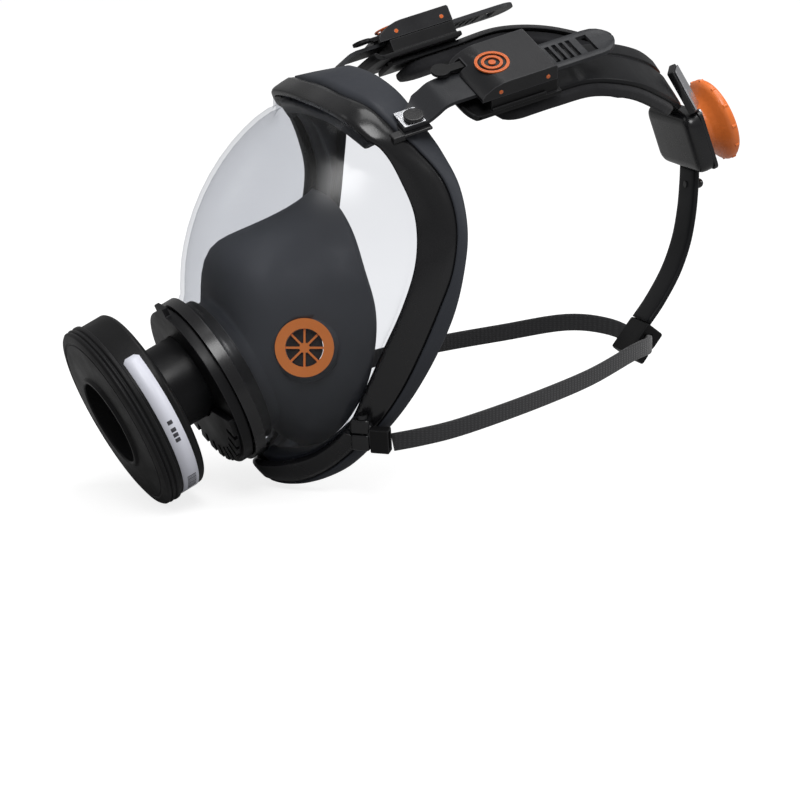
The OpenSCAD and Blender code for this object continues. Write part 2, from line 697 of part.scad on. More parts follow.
module gear_outline() {
    base = pitch_r * cos(pressure);
    tip_r = pitch_r + tooth_m * 0.95;
    root_r = pitch_r - 1.25 * tooth_m;
    roll = roll_at(tip_r, base);
    pitch_roll = roll_at(pitch_r, base);
    p = involute(base, pitch_roll);
    half = 90 / teeth + atan2(p.y, p.x) - backlash / 2 / pitch_r * 180 / PI;
    flank = [for (k = [0 : 3]) involute(base, roll * k / 3)];
    circle(r = root_r);
    for (k = [0 : teeth - 1]) rotate(k * 360 / teeth) polygon(concat(
        [[0, 0]], [for (q = flank) [q.x * cos(half) + q.y * sin(half), q.y * cos(half) - q.x * sin(half)]],
        [for (j = [3 : -1 : 0]) let (q = flank[j])
            [q.x * cos(half) + q.y * sin(half), q.x * sin(half) - q.y * cos(half)]]));
}

module pinion() color(steel) at_knob() {
    translate([0, 0, gear_low]) linear_extrude(gear_h) gear_outline();
    translate([0, 0, gear_low - 1.5]) cylinder(r = 2, h = 2);
    difference() {
        translate([0, 0, gear_low + gear_h - 0.1]) cylinder(r = 4, h = 16);
        translate([0, 0, 2]) cylinder(r = 1.55, h = 20);
    }
}

// Straight rack beside the gear, with a tooth in the gap at the middle
module rack() translate([0, 0, gear_low]) linear_extrude(gear_h - 0.4) {
    pitch = PI * tooth_m;
    low = pitch_r - tooth_m * 0.95;
    high = pitch_r + 1.25 * tooth_m;
    slope = tan(pressure);
    half = pitch / 4 - backlash / 2;
    count = floor((rack_half - 2) / pitch);
    translate([-rack_half, high - 0.05]) square([2 * rack_half, rack_back - high + 0.05]);
    for (k = [-count : count]) translate([k * pitch, 0]) polygon([
        [-half + (pitch_r - low) * slope, low], [half - (pitch_r - low) * slope, low],
        [half + (high - pitch_r) * slope, high], [-half - (high - pitch_r) * slope, high]]);
}
// One rack above the gear and one below, half a turn apart
module rack_left() color(steel) at_knob() rack();
module rack_right() color(steel) at_knob() rotate(180) rack();

module wave_washer() color(steel) at_knob() ring(7, 4 + run, gear_low + gear_h + 0.3, cover_z - 0.2);

knob_r = knob_d / 2;
module knob() color(orange) at_knob() {
    rotate_extrude() polygon([[4 + run, 0.6], [12.5, 0.6], [13, 4], [14.2, 7.5], [17, 10.5],
        [21, 12.8], [knob_r - 0.6, 14], [knob_r, 15], [knob_r, knob_l - 1.2], [knob_r - 1, knob_l],
        [knob_r - 4, knob_l - 0.5], [knob_r - 8, knob_l - 2.5], [7, knob_l - 4], [4 + run, knob_l - 4]]);
    for (a = [0 : 30 : 330]) rotate(a) translate([knob_r - 0.4, 0, knob_l - 3.4])
        cylinder(r = 1, h = 2.2, $fn = 12);
}

module knob_screw() color(steel) at_knob() {
    translate([0, 0, 6]) cylinder(r = 1.5, h = knob_l - 9.5);
    translate([0, 0, knob_l - 3.9]) difference() {
        cylinder(r = 3.6, h = 2);
        translate([0, 0, 0.8]) cylinder(r = 1.6, h = 2, $fn = 6);
    }
}

// Bright guide plates on blocks each side of the knob
guide_c = [17.6, 96.2, 101.4];
module at_guide() translate(guide_c) rotate([-58, 0, 0]) rotate([0, 40, 0]) children();
module guide_blocks() color(black) both() at_guide() translate([-5, -14, 0.8]) cube([10, 27, 4]);
module guide_plates() color(steel) both() at_guide() translate([-4, -13, 4.9]) cube([8, 25, 1]);

nape_w = 18;
nape_t = 4;
nape_line = path([[113.9, 56], [113.6, 46], [112.5, 32], [109.5, 16], [103.5, 0], [94.5, -15],
                  [86, -26]], 3);
module nape_band() color(rubber) difference() {
    side_profile(nape_w) polygon(strip(nape_line, nape_t));
    translate([0, 113.6, 47]) rotate([-90, 0, 0]) cylinder(r = 1.85, h = 12, center = true);
}
module nape_stud() color(black) translate([0, 0, 47]) rotate([-90, 0, 0]) {
    translate([0, 0, 111]) cylinder(r = 1.8, h = 8);
    translate([0, 0, 119.4]) sphere(r = 2.7);
}
module nape_clip() color(black) difference() {
    translate([0, 83.5, -37]) rotate([-38, 0, 0]) translate([-10, -6, -10]) cube([20, 12, 20]);
    translate([-20, 82.1, -43.2]) cube([40, 5.8, 11.4]);
}

visor();
frame_upper();
frame_lower();
frame_screws();
face_seal();
half_mask();
valve_seat_left();
valve_seat_right();
cheek_flap_left();
cheek_flap_right();
front_housing();
clamp_ring();
clamp_screw();
housing_gasket();
socket();
socket_gasket();
inhale_disc();
exhale_seat();
exhale_disc();
vent_cover();
filter_washer();
filter_body();
filter_lid();
filter_media();
filter_label();
upper_strap_left();
upper_strap_right();
strap_pegs();
lug_plates();
lower_clips();
lower_strap();
crown_frame();
crown_pad_left();
crown_pad_right();
buckle_base_left();
buckle_base_right();
buckle_cover_left();
buckle_cover_right();
buckle_badge_left();
buckle_badge_right();
buckle_pins();
release_lever_left();
release_lever_right();
rear_housing();
housing_cover();
cover_screws();
guide_blocks();
guide_plates();
rack_left();
rack_right();
pinion();
knob();
knob_screw();
wave_washer();
nape_band();
nape_stud();
nape_clip();
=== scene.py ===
import json
import math

import bmesh
import bpy
import numpy as np
from mathutils import Matrix, Vector


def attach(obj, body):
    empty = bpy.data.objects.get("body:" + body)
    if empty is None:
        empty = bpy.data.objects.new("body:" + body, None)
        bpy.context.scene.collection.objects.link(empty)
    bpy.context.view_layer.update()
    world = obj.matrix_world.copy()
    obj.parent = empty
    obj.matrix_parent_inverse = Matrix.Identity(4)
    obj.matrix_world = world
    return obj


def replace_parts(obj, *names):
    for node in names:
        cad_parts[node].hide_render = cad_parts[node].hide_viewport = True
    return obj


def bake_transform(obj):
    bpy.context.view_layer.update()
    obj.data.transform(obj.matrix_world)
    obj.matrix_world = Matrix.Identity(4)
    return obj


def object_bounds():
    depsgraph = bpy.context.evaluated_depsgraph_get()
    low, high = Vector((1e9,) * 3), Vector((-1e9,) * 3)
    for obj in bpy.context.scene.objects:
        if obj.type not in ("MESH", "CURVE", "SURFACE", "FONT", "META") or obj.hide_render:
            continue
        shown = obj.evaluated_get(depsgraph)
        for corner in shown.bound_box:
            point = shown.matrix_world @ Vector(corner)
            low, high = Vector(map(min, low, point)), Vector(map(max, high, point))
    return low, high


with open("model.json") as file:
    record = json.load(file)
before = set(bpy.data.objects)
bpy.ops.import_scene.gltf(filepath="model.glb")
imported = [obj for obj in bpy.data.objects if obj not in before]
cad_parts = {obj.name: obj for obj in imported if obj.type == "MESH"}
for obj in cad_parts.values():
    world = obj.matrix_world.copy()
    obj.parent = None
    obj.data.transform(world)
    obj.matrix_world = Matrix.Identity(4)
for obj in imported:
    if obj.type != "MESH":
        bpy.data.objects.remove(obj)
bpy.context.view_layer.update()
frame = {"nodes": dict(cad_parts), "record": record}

MM = 0.001
SIDES = (("left", False), ("right", True))

# ---------- camera ----------

AZIMUTH, ELEVATION = math.radians(65.5), math.radians(14.5)
DISTANCE, FOCAL_MM, SENSOR_MM = 1.95, 165, 36
AIM_RIGHT, AIM_UP = -0.0529, -0.0596
LOOK = Vector((-math.sin(AZIMUTH) * math.cos(ELEVATION),
               math.cos(AZIMUTH) * math.cos(ELEVATION), -math.sin(ELEVATION)))
RIGHT = Vector((math.cos(AZIMUTH), math.sin(AZIMUTH), 0))
UP_IMAGE = RIGHT.cross(LOOK)
camera_data = bpy.data.cameras.new("camera")
camera_data.lens = FOCAL_MM
camera_data.sensor_width = SENSOR_MM
camera_data.clip_start, camera_data.clip_end = 0.05, 30
camera = bpy.data.objects.new("camera", camera_data)
camera.matrix_world = Matrix.Translation(AIM_RIGHT * RIGHT + AIM_UP * UP_IMAGE - DISTANCE * LOOK) @ \
    Matrix((RIGHT, UP_IMAGE, -LOOK)).transposed().to_4x4()
bpy.context.collection.objects.link(camera)
bpy.context.scene.camera = camera

# ---------- curves, in millimetres ----------


def unit(v):
    return v / np.linalg.norm(v, axis=-1, keepdims=True)


def span(a, b, c, d, t):
    """Point at t between b and c, on the smooth curve that runs a, b, c, d."""
    return 0.5 * (2 * b + (c - a) * t + (2 * a - 5 * b + 4 * c - d) * t * t
                  + (3 * b - a - 3 * c + d) * t ** 3)


def loop(points, n):
    """Closed smooth curve through the points, n steps to each."""
    p = np.array(points, float)
    m = len(p)
    return np.array([span(p[i - 1], p[i], p[(i + 1) % m], p[(i + 2) % m], k / n)
                     for i in range(m) for k in range(n)])


def path(points, n):
    """Open smooth curve through the points, n steps to each."""
    p = np.array(points, float)
    p = np.concatenate([[2 * p[0] - p[1]], p, [2 * p[-1] - p[-2]]])
    inner = [span(p[i], p[i + 1], p[i + 2], p[i + 3], k / n)
             for i in range(len(p) - 3) for k in range(n)]
    return np.array(inner + [p[-2]])


def mirrored(p):
    return np.array(p, float) * [-1, 1, 1]


def both_sides(half):
    """Closed row: its left half from top to bottom, and that half mirrored back up."""
    return list(half) + [mirrored(p) for p in half[-2:0:-1]]


def there_and_back(half):
    """Open row: its left half up to the middle plane, and the same mirrored after it."""
    return list(half) + [mirrored(p) for p in half[-2::-1]]


def tangents(p, closed):
    if closed:
        return unit(np.roll(p, -1, 0) - np.roll(p, 1, 0))
    return unit(np.gradient(p, axis=0))


# ---------- meshes ----------


def finish_mesh(mesh, bm):
    bmesh.ops.remove_doubles(bm, verts=bm.verts, dist=1e-6)
    bmesh.ops.recalc_face_normals(bm, faces=bm.faces)
    bm.to_mesh(mesh)
    bm.free()
    for polygon in mesh.polygons:
        polygon.use_smooth = True


def smooth_by_angle(limit):
    """Geometry nodes that shade smooth, and keep edges steeper than the limit sharp."""
    tree = bpy.data.node_groups.new("smooth_by_angle", "GeometryNodeTree")
    for way in ("INPUT", "OUTPUT"):
        tree.interface.new_socket("Geometry", in_out=way, socket_type="NodeSocketGeometry")
    start, end = tree.nodes.new("NodeGroupInput"), tree.nodes.new("NodeGroupOutput")
    angle = tree.nodes.new("GeometryNodeInputMeshEdgeAngle")
    flat = tree.nodes.new("FunctionNodeCompare")
    flat.operation = "LESS_THAN"
    flat.inputs["B"].default_value = math.radians(limit)
    faces = tree.nodes.new("GeometryNodeSetShadeSmooth")
    edges = tree.nodes.new("GeometryNodeSetShadeSmooth")
    edges.domain = "EDGE"
    tree.links.new(angle.outputs["Unsigned Angle"], flat.inputs["A"])
    tree.links.new(flat.outputs[0], edges.inputs["Shade Smooth"])
    tree.links.new(start.outputs[0], faces.inputs[0])
    tree.links.new(faces.outputs[0], edges.inputs[0])
    tree.links.new(edges.outputs[0], end.inputs[0])
    return tree


def add_bevel(piece, width, angle=30, segments=3, harden=True):
    bevel = piece.modifiers.new("edges", "BEVEL")
    bevel.width = width * MM
    bevel.segments = segments
    bevel.limit_method = "ANGLE"
    bevel.angle_limit = math.radians(angle)
    bevel.harden_normals = harden
    bevel.miter_outer = "MITER_ARC"


def piece_from(name, verts, faces, body, material, slot, bevel=0, angle=30):
    mesh = bpy.data.meshes.new(name)
    bm = bmesh.new()
    vs = [bm.verts.new(Vector(v) * MM) for v in verts]
    for face in faces:
        bm.faces.new([vs[k] for k in face])
    finish_mesh(mesh, bm)
    piece = bpy.data.objects.new(name, mesh)
    bpy.context.collection.objects.link(piece)
    mesh.materials.append(material)
    if bevel:
        add_bevel(piece, bevel, angle)
    if body:
        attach(piece, body)
    return piece


def loft(name, grid, body, material, slot, wrap=True, **more):
    """Skin over rings of points: wrap joins the last ring to the first, else the ends are capped."""
    grid = np.array(grid)
    u, v = grid.shape[:2]
    faces = [(i * v + j, (i + 1) % u * v + j, (i + 1) % u * v + (j + 1) % v, i * v + (j + 1) % v)
             for i in range(u if wrap else u - 1) for j in range(v)]
    if not wrap:
        faces += [tuple(range(v)), tuple((u - 1) * v + j for j in range(v))]
    return piece_from(name, grid.reshape(-1, 3), faces, body, material, slot, **more)


def boxes(name, parts, body, material, slot, bevel):
    """One piece made of blocks, each given as a transform, a lowest and a highest corner."""
    verts, faces = [], []
    for turn, low, high in parts:
        base = len(verts)
        for k in range(8):
            corner = [high[a] if k >> a & 1 else low[a] for a in range(3)]
            verts.append(turn(np.array([corner]))[0])
        faces += [tuple(base + k for k in f) for f in
                  ((0, 1, 3, 2), (4, 6, 7, 5), (0, 4, 5, 1), (2, 3, 7, 6), (0, 2, 6, 4), (1, 5, 7, 3))]
    return piece_from(name, verts, faces, body, material, slot, bevel=bevel)


def revolve(name, profile, turn, body, material, slot, sides=128, **more):
    """Closed profile of (radius, height) turned about the local Z axis."""
    angles = np.linspace(0, 2 * np.pi, sides, endpoint=False)
    grid = [[(r * math.cos(a), r * math.sin(a), z) for r, z in profile] for a in angles]
    flat = turn(np.array(grid).reshape(-1, 3))
    return loft(name, flat.reshape(sides, len(profile), 3), body, material, slot, **more)


def turned(origin, matrix, flip=False):
    """Maps local points into the row frame, mirrored across X if flip is set."""
    def apply(points):
        out = points @ np.array(matrix).T + np.array(origin, float)
        return mirrored(out) if flip else out
    return apply


def rotation(axis, degrees):
    return np.array(Matrix.Rotation(math.radians(degrees), 3, axis))


# ---------- materials ----------


class Nodes:
    """Short calls for one node material."""

    def __init__(self, name):
        self.material = bpy.data.materials.new(name)
        self.material.use_nodes = True
        self.tree = self.material.node_tree
        self.shader = self.tree.nodes["Principled BSDF"]
        self.where = self.add("ShaderNodeTexCoord").outputs["Object"]

    def add(self, kind, inputs=None, **settings):
        node = self.tree.nodes.new(kind)
        for key, value in settings.items():
            setattr(node, key, value)
        for key, value in (inputs or {}).items():
            self.set(node.inputs[key], value)
        return node

    def set(self, socket, value):
        if isinstance(value, bpy.types.NodeSocket):
            self.tree.links.new(value, socket)
        else:
            socket.default_value = value

    def math(self, operation, a, b):
        node = self.add("ShaderNodeMath", operation=operation)
        self.set(node.inputs[0], a)
        self.set(node.inputs[1], b)
        return node.outputs[0]

    def noise(self, scale, detail=3, stretch=None):
        where = self.where
        if stretch:
            where = self.add("ShaderNodeMapping", {"Vector": where, "Scale": stretch}).outputs[0]
        return self.add("ShaderNodeTexNoise",
                        {"Vector": where, "Scale": scale, "Detail": detail}).outputs[0]

    def between(self, factor, low, high):
        return self.add("ShaderNodeMapRange", {"Value": factor, "From Min": 0.3, "From Max": 0.7,
                                               "To Min": low, "To Max": high}).outputs[0]

    def mix(self, factor, a, b):
        node = self.add("ShaderNodeMix", data_type="RGBA")
        self.set(node.inputs[0], factor)
        self.set(node.inputs[6], a)
        self.set(node.inputs[7], b)
        return node.outputs[2]

    def bump(self, height, strength, distance, below=None):
        inputs = {"Height": height, "Strength": strength, "Distance": distance}
        if below:
            inputs["Normal"] = below
        return self.add("ShaderNodeBump", inputs).outputs[0]

    def worn_edges(self, reach=0.0008):
        """1 along outer edges and 0 on the flats."""
        bevel = self.add("ShaderNodeBevel", {"Radius": reach}, samples=4)
        geometry = self.add("ShaderNodeNewGeometry")
        dot = self.add("ShaderNodeVectorMath", operation="DOT_PRODUCT")
        self.set(dot.inputs[0], bevel.outputs[0])
        self.set(dot.inputs[1], geometry.outputs["Normal"])
        return self.add("ShaderNodeMapRange", {"Value": dot.outputs["Value"], "From Min": 1.0,
                                               "From Max": 0.9, "To Min": 0.0, "To Max": 1.0}).outputs[0]


def rgb(*c):
    return (*c, 1.0)


def moulded(name, colour, rough, grain=900, depth=0.05, blotch=0.3, coat=0.0, metal=0.0,
            edge=None, sheen=0.0, stretch=None, specular=0.5):
    """Moulded plastic, rubber or metal: blotchy tone and gloss, fine grain, lighter worn edges."""
    n = Nodes(name)
    cloud = n.noise(14, 4)
    fine = n.noise(grain, 2, stretch)
    tone = n.mix(n.between(cloud, 0, 1), rgb(*[c * (1 - blotch) for c in colour]),
                 rgb(*[min(1, c * (1 + blotch)) for c in colour]))
    if edge:
        tone = n.mix(n.worn_edges(), tone, rgb(*edge))
    shader = n.shader.inputs
    n.set(shader["Base Color"], tone)
    n.set(shader["Roughness"], n.between(n.noise(60, 5), rough * 0.82, rough * 1.18))
    n.set(shader["Metallic"], metal)
    n.set(shader["Specular IOR Level"], specular)
    n.set(shader["Coat Weight"], coat)
    n.set(shader["Coat Roughness"], 0.12)
    n.set(shader["Sheen Weight"], sheen)
    n.set(shader["Sheen Roughness"], 0.5)
    soft = n.bump(n.noise(90, 2), 0.12, 0.0004)
    n.set(shader["Normal"], n.bump(fine, depth * 4, 0.00012, soft))
    return n.material


def clear_plastic(name):
    """Clear moulded shell: see-through with a blue-grey cast, and soft gloss at grazing angles."""
    n = Nodes(name)
    n.tree.nodes.remove(n.shader)
    haze = n.between(n.noise(20, 3), 0.0, 1.0)
    through = n.add("ShaderNodeBsdfTransparent",
                    {"Color": n.mix(haze, rgb(0.838, 0.844, 0.86), rgb(0.856, 0.862, 0.876))})
    gloss = n.add("ShaderNodeBsdfGlossy", {"Color": rgb(1, 1, 1), "Roughness": 0.24,
                                           "Normal": n.bump(n.noise(30, 2), 0.05, 0.0004)})
    facing = n.add("ShaderNodeLayerWeight", {"Blend": 0.5}).outputs["Facing"]
    steep = n.math("POWER", facing, 4.0)
    share = n.add("ShaderNodeMapRange", {"Value": steep, "To Min": 0.025, "To Max": 0.4}).outputs[0]
    outer = n.math("SUBTRACT", 1.0, n.add("ShaderNodeNewGeometry").outputs["Backfacing"])
    mix = n.add("ShaderNodeMixShader")
    n.set(mix.inputs[0], n.math("MULTIPLY", share, outer))
    n.set(mix.inputs[1], through.outputs[0])
    n.set(mix.inputs[2], gloss.outputs[0])
    n.set(n.tree.nodes["Material Output"].inputs["Surface"], mix.outputs[0])
    return n.material


def woven(name, colour, pitch):
    """Elastic webbing: ribs across its length and fine yarns, by two crossed waves."""
    n = Nodes(name)
    ribs = n.add("ShaderNodeTexWave", {"Vector": n.where, "Scale": 1 / pitch, "Distortion": 0.6,
                                       "Detail": 1.0}, bands_direction="Y")
    yarn = n.add("ShaderNodeTexWave", {"Vector": n.where, "Scale": 1.7 / pitch, "Distortion": 1.0},
                 bands_direction="Z")
    weave = n.math("MULTIPLY", ribs.outputs["Fac"], yarn.outputs["Fac"])
    shader = n.shader.inputs
    n.set(shader["Base Color"], n.mix(weave, rgb(*[c * 0.55 for c in colour]), rgb(*colour)))
    n.set(shader["Roughness"], 0.8)
    n.set(shader["Sheen Weight"], 0.3)
    n.set(shader["Normal"], n.bump(weave, 0.6, 0.0003))
    return n.material


def pleated(name, colour, pleats):
    """Filter fibre folded in straight pleats, with painted shade darkening the pleat valleys."""
    n = Nodes(name)
    wave = n.add("ShaderNodeTexWave", {"Vector": n.where, "Scale": pleats, "Distortion": 0.4},
                 bands_direction="X")
    shader = n.shader.inputs
    # Painted shade: the colour darkens to about a third of the fibre's own where the pleat wave is low, as
    # shade in the folds
    n.set(shader["Base Color"], n.mix(wave.outputs["Fac"], rgb(*[c * 0.35 for c in colour]), rgb(*colour)))
    n.set(shader["Roughness"], 0.9)
    n.set(shader["Normal"], n.bump(wave.outputs["Fac"], 0.8, 0.001, n.bump(n.noise(700, 3), 0.4, 0.0002)))
    return n.material


MATERIAL = {
    "clear_visor": clear_plastic("clear_polycarbonate"),
    "gloss_black": moulded("gloss_black", (0.008, 0.008, 0.009), 0.26, grain=1100, depth=0.02,
                           coat=0.15, edge=(0.02, 0.02, 0.022), specular=0.4),
    "matte_black": moulded("matte_black", (0.01, 0.01, 0.0105), 0.42, grain=1400, depth=0.12,
                           edge=(0.025, 0.025, 0.027), specular=0.14),
    "seal_rubber": moulded("slate_rubber", (0.03, 0.033, 0.041), 0.58, grain=1600, depth=0.1,
                           blotch=0.15, specular=0.3),
    "valve_rubber": moulded("valve_rubber", (0.012, 0.012, 0.013), 0.6, grain=1500, depth=0.08,
                            specular=0.3),
    "orange_plastic": moulded("orange_plastic", (0.6, 0.11, 0.016), 0.28, grain=1000, depth=0.03,
                              coat=0.15, blotch=0.08, edge=(0.72, 0.19, 0.05)),
    "steel": moulded("zinc_steel", (0.5, 0.51, 0.53), 0.32, grain=700, depth=0.1, metal=1.0,
                     blotch=0.12, stretch=(1, 14, 1)),
    "bright_plate": moulded("bright_plate", (0.7, 0.71, 0.74), 0.2, grain=600, depth=0.06, metal=1.0,
                            blotch=0.1, stretch=(1, 20, 1)),
    "label_film": moulded("label_film", (0.74, 0.75, 0.83), 0.42, grain=900, depth=0.02, blotch=0.03),
    "filter_fibre": pleated("filter_fibre", (0.62, 0.62, 0.58), 55),
    "elastic_web": woven("elastic_web", (0.03, 0.03, 0.033), 0.0065),
}
MASK_RUBBER = moulded("mask_rubber", (0.052, 0.055, 0.063), 0.55, grain=3500, depth=0.015,
                      blotch=0.1, specular=0.35)
BAND_RUBBER = moulded("band_rubber", (0.008, 0.0083, 0.0095), 0.4, grain=1300, depth=0.07, blotch=0.2,
                      specular=0.2)
STRAP_RUBBER = moulded("strap_rubber", (0.018, 0.019, 0.022), 0.5, grain=1200, depth=0.14, blotch=0.2,
                       specular=0.35)
VALVE_ORANGE = moulded("valve_orange", (1.0, 0.27, 0.045), 0.35, grain=1000, depth=0.03, blotch=0.06)
KNOB_ORANGE = moulded("knob_orange", (0.85, 0.2, 0.04), 0.3, grain=1000, depth=0.03, blotch=0.06)
HOUSING_BLACK = moulded("housing_black", (0.007, 0.007, 0.008), 0.38, grain=1200, depth=0.05,
                        edge=(0.03, 0.03, 0.032), specular=0.2)
BUCKLE_GREY = moulded("buckle_grey", (0.012, 0.012, 0.0135), 0.36, grain=1300, depth=0.12,
                      edge=(0.05, 0.05, 0.054), specular=0.3)
PAD_FOAM = moulded("pad_foam", (0.016, 0.016, 0.018), 0.85, grain=420, depth=0.4, sheen=0.1,
                   specular=0.2)
DARK_STEEL = moulded("dark_steel", (0.06, 0.06, 0.062), 0.35, grain=700, depth=0.1, metal=1.0,
                     blotch=0.15)
PRINT = moulded("label_print", (0.05, 0.05, 0.06), 0.5, grain=900, depth=0.02)

# ---------- CAD nodes: materials and softened edges ----------

SLOT = {row["node"]: row["material_slot"] for row in frame["record"]["subparts"]}
NODE_MATERIAL = {"buckle_cover_left": BUCKLE_GREY, "buckle_cover_right": BUCKLE_GREY,
                 "frame_screws": DARK_STEEL, "knob": KNOB_ORANGE, "front_housing": HOUSING_BLACK,
                 "vent_cover": HOUSING_BLACK, "socket": HOUSING_BLACK,
                 "valve_seat_left": VALVE_ORANGE, "valve_seat_right": VALVE_ORANGE}
EDGE_MM = {"knob": 0.4, "filter_body": 0.7, "buckle_cover_left": 1.0, "buckle_cover_right": 1.0,
           "buckle_base_left": 0.8, "buckle_base_right": 0.8, "front_housing": 0.6, "vent_cover": 0.3,
           "housing_cover": 0.4, "nape_clip": 1.2, "lower_clips": 0.8, "guide_blocks": 0.8,
           "socket": 0.5, "clamp_ring": 0.5, "strap_pegs": 0.5, "valve_seat_left": 0.35,
           "valve_seat_right": 0.35, "lug_plates": 0.2, "guide_plates": 0.25,
           "release_lever_left": 0.5, "release_lever_right": 0.5}
SMOOTH = smooth_by_angle(38)
for node, piece in frame["nodes"].items():
    piece.data.materials.clear()
    piece.data.materials.append(NODE_MATERIAL.get(node, MATERIAL[SLOT[node]]))
    weld = piece.modifiers.new("weld", "WELD")
    weld.merge_threshold = 1e-6
    flatten = piece.modifiers.new("flatten", "DECIMATE")
    flatten.decimate_type = "DISSOLVE"
    flatten.angle_limit = math.radians(0.6)
    add_bevel(piece, EDGE_MM.get(node, 0.15), angle=32, segments=2, harden=False)
    piece.modifiers.new("shade", "NODES").node_group = SMOOTH
    piece.modifiers.new("normals", "WEIGHTED_NORMAL").keep_sharp = True

# ---------- frame of the facepiece ----------

# Front edge, back edge and skirt edge of the frame, top to bottom, as in the CAD
FRAME_ROWS = [
    [[0, -113, 110], [0, -103, 118], [0, -80, 124]],
    [[24, -113, 110], [24, -103, 117], [20, -78, 122]],
    [[48, -111, 107], [49, -98, 114], [38, -74, 115]],
    [[60, -104, 99], [62, -89, 103], [55, -69, 101]],
    [[64, -96, 91], [70, -79, 91], [67, -64, 88]],
    [[67, -89, 77], [79, -70, 76], [77.5, -60, 73]],
    [[71, -83, 58], [86, -67, 56], [84.5, -59, 53]],
    [[74, -84, 36], [87, -69, 34], [85.5, -61, 33]],
    [[71, -90, 12], [83, -74, 14], [82.5, -65, 10]],
    [[63, -98, -13], [75, -82, -13], [76, -72, -13]],
    [[55, -104, -34], [66, -90, -36], [65, -80, -36]],
    [[46, -110, -54], [54, -100, -57], [52, -90, -57]],
    [[30, -121, -71], [34, -113, -79], [33, -101, -78]],
    [[14, -135, -79], [16, -125, -90], [16, -112, -88]],
    [[0, -143, -80], [0, -134, -91], [0, -118, -90]]]
FRAME_STEPS = 8
SPLIT_ROW = 11
FRONT, BACK, SKIRT = [loop(both_sides([r[k] for r in FRAME_ROWS]), FRAME_STEPS) for k in range(3)]
STATIONS = len(FRONT)
ALONG = unit(BACK - FRONT)
INWARD = unit(np.cross(ALONG, tangents(FRONT, True)))


def on_frame(share, along, inward):
    """Ring at a share of the way from front to back edge, shifted along the wall and inwards."""
    return FRONT + share * (BACK - FRONT) + along * ALONG + inward * INWARD


def frame_band(name, first, last, node):
    profile = [(0, 0, 2.0), (0, 0.35, 1.0), (0, 1.3, 0.3), (0.2, 0, 0.0), (0.5, 0, 0.0), (0.78, 0, 0.25),
               (1, -2.2, 0.9), (1, -1.0, 1.5), (1, 0, 2.6), (1, 0, 4.0), (0, 0, 4.0)]
    ring = np.array([on_frame(*p) for p in profile]).transpose(1, 0, 2)
    grid = [ring[i % STATIONS] for i in range(first, last + 1)]
    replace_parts(loft(name, grid, "facepiece", MATERIAL["gloss_black"], "gloss_black", wrap=False,
                     bevel=0.35, angle=35), node)


SPLIT = SPLIT_ROW * FRAME_STEPS
frame_band("frame_band_upper", -SPLIT, SPLIT, "frame_upper")
frame_band("frame_band_lower", SPLIT + 1, STATIONS - SPLIT - 1, "frame_lower")

BUCKLE_C = [58.6, -25, 127]
BUCKLE_TURN = rotation("X", 13) @ rotation("Y", 24)
LUG_C = [52, -105, -58]
LUG_TURN = rotation("Z", -41) @ rotation("Y", 100)

for side, flip in SIDES:
    at_buckle = turned(BUCKLE_C, BUCKLE_TURN, flip)
    at_lug = turned(LUG_C, LUG_TURN, flip)
    boxes("upper_lug_" + side, [(at_buckle, (2.5, -66, -9.4), (14, -50, -7.7)),
                                (at_buckle, (7.5, -72, -11.4), (13.4, -65, -7.9))],
          "facepiece", MATERIAL["gloss_black"], "gloss_black", bevel=0.8)
    boxes("lower_lug_" + side, [(at_lug, (-12, -3, -2.5), (-4, 7, 5)),
                                (at_lug, (-3.6, -3, -2.5), (5.4, 7, 5)),
                                (at_lug, (-9, 5, -1.5), (3, 8, 4))],
          "facepiece", MATERIAL["gloss_black"], "gloss_black", bevel=1.8)

# ---------- valve housing places ----------

TILT = math.radians(25)
HOUSING_C = np.array([0, -166, -33.0])
OUT = np.array([0, -math.cos(TILT), -math.sin(TILT)])
UP = np.array([0, -math.sin(TILT), math.cos(TILT)])
SIDE = np.array([1.0, 0, 0])
AXES = np.array([SIDE, UP, OUT]).T
SOCKET_C = HOUSING_C + 8 * UP
at_filter = turned(SOCKET_C, AXES)


def in_housing(angle, r, z):
    angle = np.asarray(angle)[..., None]
    return HOUSING_C + r * np.cos(angle) * SIDE + r * np.sin(angle) * UP + z * OUT


def housing_angle(p):
    return np.arctan2((p - HOUSING_C) @ UP, p[..., 0])


# ---------- visor ----------

VISOR_C, VISOR_SEMI = np.array([0, -70, 10.0]), np.array([78, 108, 113.0])
VISOR_RIM, VISOR_T = 4.5, 2.4
COLLAR_R, COLLAR_ROOT, COLLAR_END = 43, -7, 1
COLLAR_RIDGE = 0.54


def on_visor(share, t):
    """Ring at a share of the way from the rim to the collar, on the ball, t under its face."""
    rim = on_frame(0, -1.2, VISOR_RIM + t)
    root = in_housing(housing_angle(rim), COLLAR_R - t, COLLAR_ROOT)
    flat = rim + share * (root - rim)
    d = flat - VISOR_C
    ball = VISOR_C + d / np.linalg.norm(d / (VISOR_SEMI - t), axis=1, keepdims=True)
    swell = (1 - (2 * share - 1) ** 10) * np.minimum(1, np.linalg.norm(root - rim, axis=1) / 80)
    return flat + swell[:, None] * (ball - flat)


def visor_side(t):
    last = in_housing(housing_angle(on_frame(0, 0, VISOR_RIM)), COLLAR_R - t, COLLAR_END)
    shares = [0, 0.03, 0.07, 0.12, 0.18, 0.25, 0.32, 0.39, 0.46, 0.53, 0.6, 0.67, 0.74, 0.8, 0.86]
    collar = [0.9, 0.91, 0.93, 0.94, 0.96, 0.97, 0.99, 1]
    ridge = [0, 1, 1, 0, 0, 1, 1, 0]
    rise = COLLAR_RIDGE if t == 0 else 0
    rings = [on_frame(0.7, 0, VISOR_RIM + t)] + [on_visor(s, t) for s in shares]
    rings += [on_visor(s, t) + rise * high * UP for s, high in zip(collar, ridge)]
    return rings + [last]


visor = loft("visor_shell", visor_side(0) + visor_side(VISOR_T)[::-1], "facepiece",
             MATERIAL["clear_visor"], "clear_visor")
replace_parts(visor, "visor")

# ---------- face seal ----------

